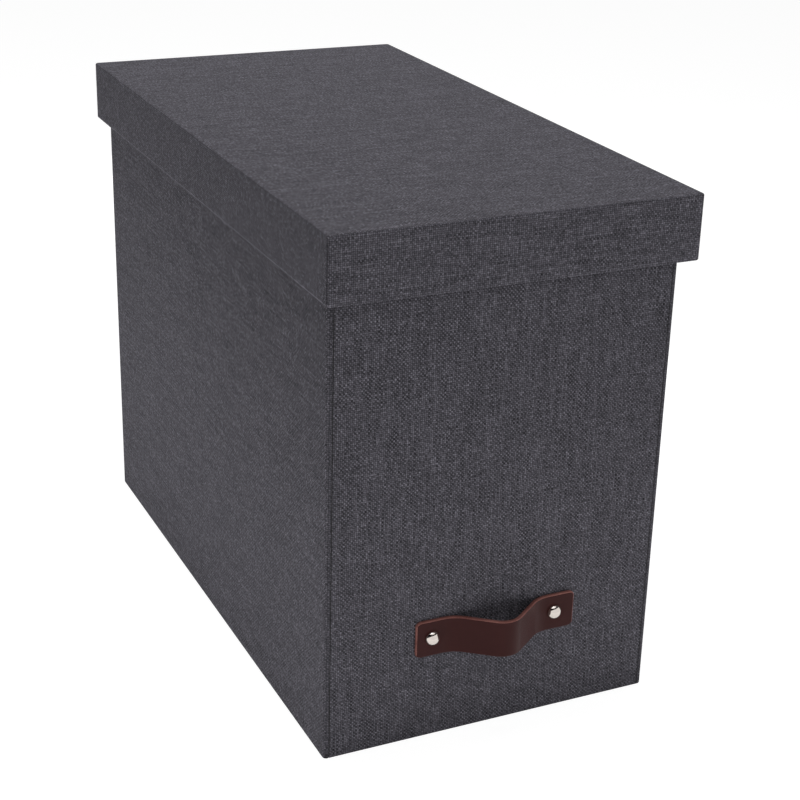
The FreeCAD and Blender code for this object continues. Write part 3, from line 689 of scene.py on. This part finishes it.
# Five hanging files stand in the box: kraft card folded in half, with a hem along each leaf. The
# hem is pressed down hard, so its flap shows through as a faint step, and hands rub its top pale.
FILES = range(1, 6)
FLAP_DROP = 0.0216
FLAP_SHADE_HALF = 0.0012
FLAP_STEP_HALF = 0.0006
FLAP_STEP = 2.0
FLAP_SHADE = 0.25
HEM_RUB = 0.0009
SCUFF_SHARE = 0.5
card, graph, shader = finish_of("folder_card", Roughness=0.82)
kraft = pressed_stock(graph, ground=color(0.43, 0.28, 0.155), fibre=color(0.62, 0.46, 0.30),
                      fibre_size=0.0009, amount=0.4)
spot = graph.spot()
height = graph.split(spot)[2]
hem_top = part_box("file_1_folder")[1][2]
flap_end = hem_top - FLAP_DROP
scuffs = graph.ramp(graph.noise(spot, scale=220.0, detail=3.0), low=0.35, high=0.65, start=0.2, end=0.9)
scuffed = graph.math("MULTIPLY", graph.ramp(height, low=hem_top - HEM_RUB, high=hem_top), scuffs)
off_flap = graph.math("ABSOLUTE", graph.math("SUBTRACT", height, flap_end))
flap_shade = graph.math("MULTIPLY", graph.ramp(off_flap, low=FLAP_SHADE_HALF, high=0.0), FLAP_SHADE)
toned = graph.mix(flap_shade, kraft["Color"], color(0.30, 0.19, 0.10))
graph.link(graph.mix(graph.math("MULTIPLY", scuffed, SCUFF_SHARE), toned, color(0.72, 0.58, 0.42)),
           shader.inputs["Base Color"])
flap_step = graph.math("MULTIPLY", graph.ramp(
    height, low=flap_end - FLAP_STEP_HALF, high=flap_end + FLAP_STEP_HALF), FLAP_STEP)
bumped(graph, shader, graph.math("ADD", kraft["Height"], flap_step), distance=0.00005)
dress(card, *[f"file_{number}_folder" for number in FILES])

# A rod of plated strip steel runs in each hem, with fine lines along it from rolling. Its hooked
# ends hang over both rails and slide on them.
rod_steel = steel_finish(
    "rod_steel", draw=(1.0, 0.02, 1.0), metal=color(0.40, 0.40, 0.41), roughness=0.36)
dress(rod_steel, *[f"file_{number}_rods" for number in FILES])

# An index tab of clear plastic is pushed over one hem, and a blank strip of white paper stands in
# its window. Handling leaves fine scratches on the plastic.
SCRATCH_LAY = (1.0, 0.12, 1.0)
plastic, graph, shader = finish_of("clear_plastic", Transmission_Weight=0.92, IOR=1.49)
spot = graph.spot()
scratches = graph.noise(graph.vector("MULTIPLY", spot, SCRATCH_LAY), scale=4200.0)
smears = graph.noise(spot, scale=90.0, detail=3.0)
graph.link(graph.mix(smears, color(0.86, 0.89, 0.91), color(0.95, 0.96, 0.97)),
           shader.inputs["Base Color"])
graph.link(graph.math("ADD", graph.ramp(scratches, low=0.6, high=0.8, start=0.04, end=0.12),
                      graph.ramp(smears, NOISE_LOW, NOISE_HIGH, start=0.0, end=0.05)),
           shader.inputs["Roughness"])
bumped(graph, shader, scratches, distance=0.0000008)
dress(plastic, *[f"file_{number}_tab" for number in FILES])
insert_paper = paper_finish(
    "insert_paper", ground=color(0.70, 0.69, 0.66), fibre=color(0.84, 0.83, 0.81),
    fibre_size=0.0005, amount=0.4, relief=0.00003, roughness=0.85)
dress(insert_paper, *[f"file_{number}_insert" for number in FILES])

# The studio is a white floor in a white room. A broad lamp hangs overhead, a key and a low box
# stand in front, a box lies on the floor there and shines up, one stands behind, and a strip of
# light lies along each side.
FLOOR_HALF = 4.0
FLOOR_GLOW = 0.93
ROOM_LIGHT = 0.06
shaper = bmesh.new()
bmesh.ops.create_grid(shaper, x_segments=2, y_segments=2, size=FLOOR_HALF)


def background_rays(graph):
    """1 for the rays that see the background as the photograph does, 0 for those that light the box."""
    seen = graph.node("ShaderNodeLightPath").outputs
    return graph.math("MAXIMUM", seen["Is Camera Ray"], graph.math(
        "MAXIMUM", seen["Is Glossy Ray"], seen["Is Transmission Ray"]))


white, graph, shader = finish_of("studio_white", Roughness=0.95, Specular_IOR_Level=0.0,
                                 Emission_Color=color(1.0, 1.0, 1.0))
seen = background_rays(graph)
graph.link(graph.mix(seen, color(0.88, 0.88, 0.88), color(0.25, 0.25, 0.25)), shader.inputs["Base Color"])
graph.link(graph.math("MULTIPLY", seen, FLOOR_GLOW), shader.inputs["Emission Strength"])
floor = placed("studio_floor", shaper, white)

world = bpy.data.worlds.new("studio_room")
scene.world = world
world.use_nodes = True
world.node_tree.nodes.clear()
room = Graph(world.node_tree)
ambient = room.node("ShaderNodeBackground", {"Color": color(1.0, 1.0, 1.0), "Strength": ROOM_LIGHT})
backdrop = room.node("ShaderNodeBackground", {"Color": color(1.0, 1.0, 1.0), "Strength": 1.0})
shown = room.node("ShaderNodeMixShader", {
    0: background_rays(room), 1: ambient.outputs[0], 2: backdrop.outputs[0]})
room.link(shown.outputs[0], room.node("ShaderNodeOutputWorld").inputs["Surface"])

# A dark screen, which only reflections see, curves round the strap as cards do round polished
# metal in a studio. Its lower and upper edges are arches: the heading of the middle, how high it
# peaks there, and how fast it falls away.
SCREEN_RADIUS = 0.6
SCREEN_HALF_TURN = math.radians(118)
SCREEN_COLUMNS = 28
SCREEN_RISES = 4
LOW_ARCH = {"middle": math.radians(15), "peak": math.radians(46), "spread": 0.85}
HIGH_ARCH = {"middle": math.radians(-5), "peak": math.radians(61), "spread": 0.5}


def arch(heading, middle, peak, spread):
    """How high an edge of the screen stands at a heading."""
    return math.atan(math.tan(peak) * math.cos((heading - middle) * spread))


shaper = bmesh.new()
columns = []
for step in range(SCREEN_COLUMNS + 1):
    heading = SCREEN_HALF_TURN * (2 * step / SCREEN_COLUMNS - 1)
    low, high = arch(heading, **LOW_ARCH), arch(heading, **HIGH_ARCH)
    columns.append([shaper.verts.new((
        SCREEN_RADIUS * math.sin(heading) * math.cos(lift),
        strap_high.y - SCREEN_RADIUS * math.cos(heading) * math.cos(lift),
        strap_level + SCREEN_RADIUS * math.sin(lift)))
        for lift in (low + (high - low) * rise / SCREEN_RISES for rise in range(SCREEN_RISES + 1))])
for left, right in zip(columns, columns[1:]):
    for rise in range(SCREEN_RISES):
        shaper.faces.new((left[rise], right[rise], right[rise + 1], left[rise + 1]))
black, _, _ = finish_of("screen_black", Base_Color=color(0.004, 0.004, 0.006), Roughness=1.0,
                        Specular_IOR_Level=0.0)
screen = placed("dark_screen", shaper, black)
screen.visible_camera = False
screen.visible_diffuse = False
screen.visible_transmission = False
screen.visible_shadow = False


def soft_lamp(name, place, aim, size, watts, mirrored=False):
    """A soft rectangular lamp that shines from its place towards a point, mirrored in metal or not."""
    data = bpy.data.lights.new(name, "AREA")
    data.shape = "RECTANGLE"
    data.size, data.size_y = size
    data.energy = watts
    made = bpy.data.objects.new(name, data)
    made.location = place
    made.rotation_euler = (Vector(aim) - Vector(place)).to_track_quat("-Z", "Y").to_euler()
    made.visible_camera = False
    made.visible_glossy = mirrored
    scene.collection.objects.link(made)


soft_lamp("overhead_softbox", place=(0.0, 0.15, 1.6), aim=(0.0, 0.15, 0.0), size=(0.8, 1.0), watts=12.5,
          mirrored=True)
soft_lamp("front_key", place=(-0.05, -1.15, 0.90), aim=(0.0, -0.1, 0.15), size=(0.3, 0.5), watts=2.2)
soft_lamp("front_softbox", place=(0.0, -0.95, 0.08), aim=(0.0, 0.0, 0.08), size=(0.9, 0.16), watts=0.60)
soft_lamp("floor_softbox", place=(0.0, -0.43, 0.003), aim=(0.0, -0.43, 1.0), size=(0.9, 0.5), watts=0.40)
soft_lamp("back_softbox", place=(0.0, 0.95, 0.25), aim=(0.0, 0.0, 0.25), size=(0.9, 0.46), watts=2.3)
soft_lamp("left_softbox", place=(-0.37, 0.0, 0.06), aim=(0.0, 0.0, 0.06), size=(0.8, 0.1), watts=0.47)
soft_lamp("right_softbox", place=(0.37, 0.0, 0.06), aim=(0.0, 0.0, 0.06), size=(0.8, 0.1), watts=0.47)
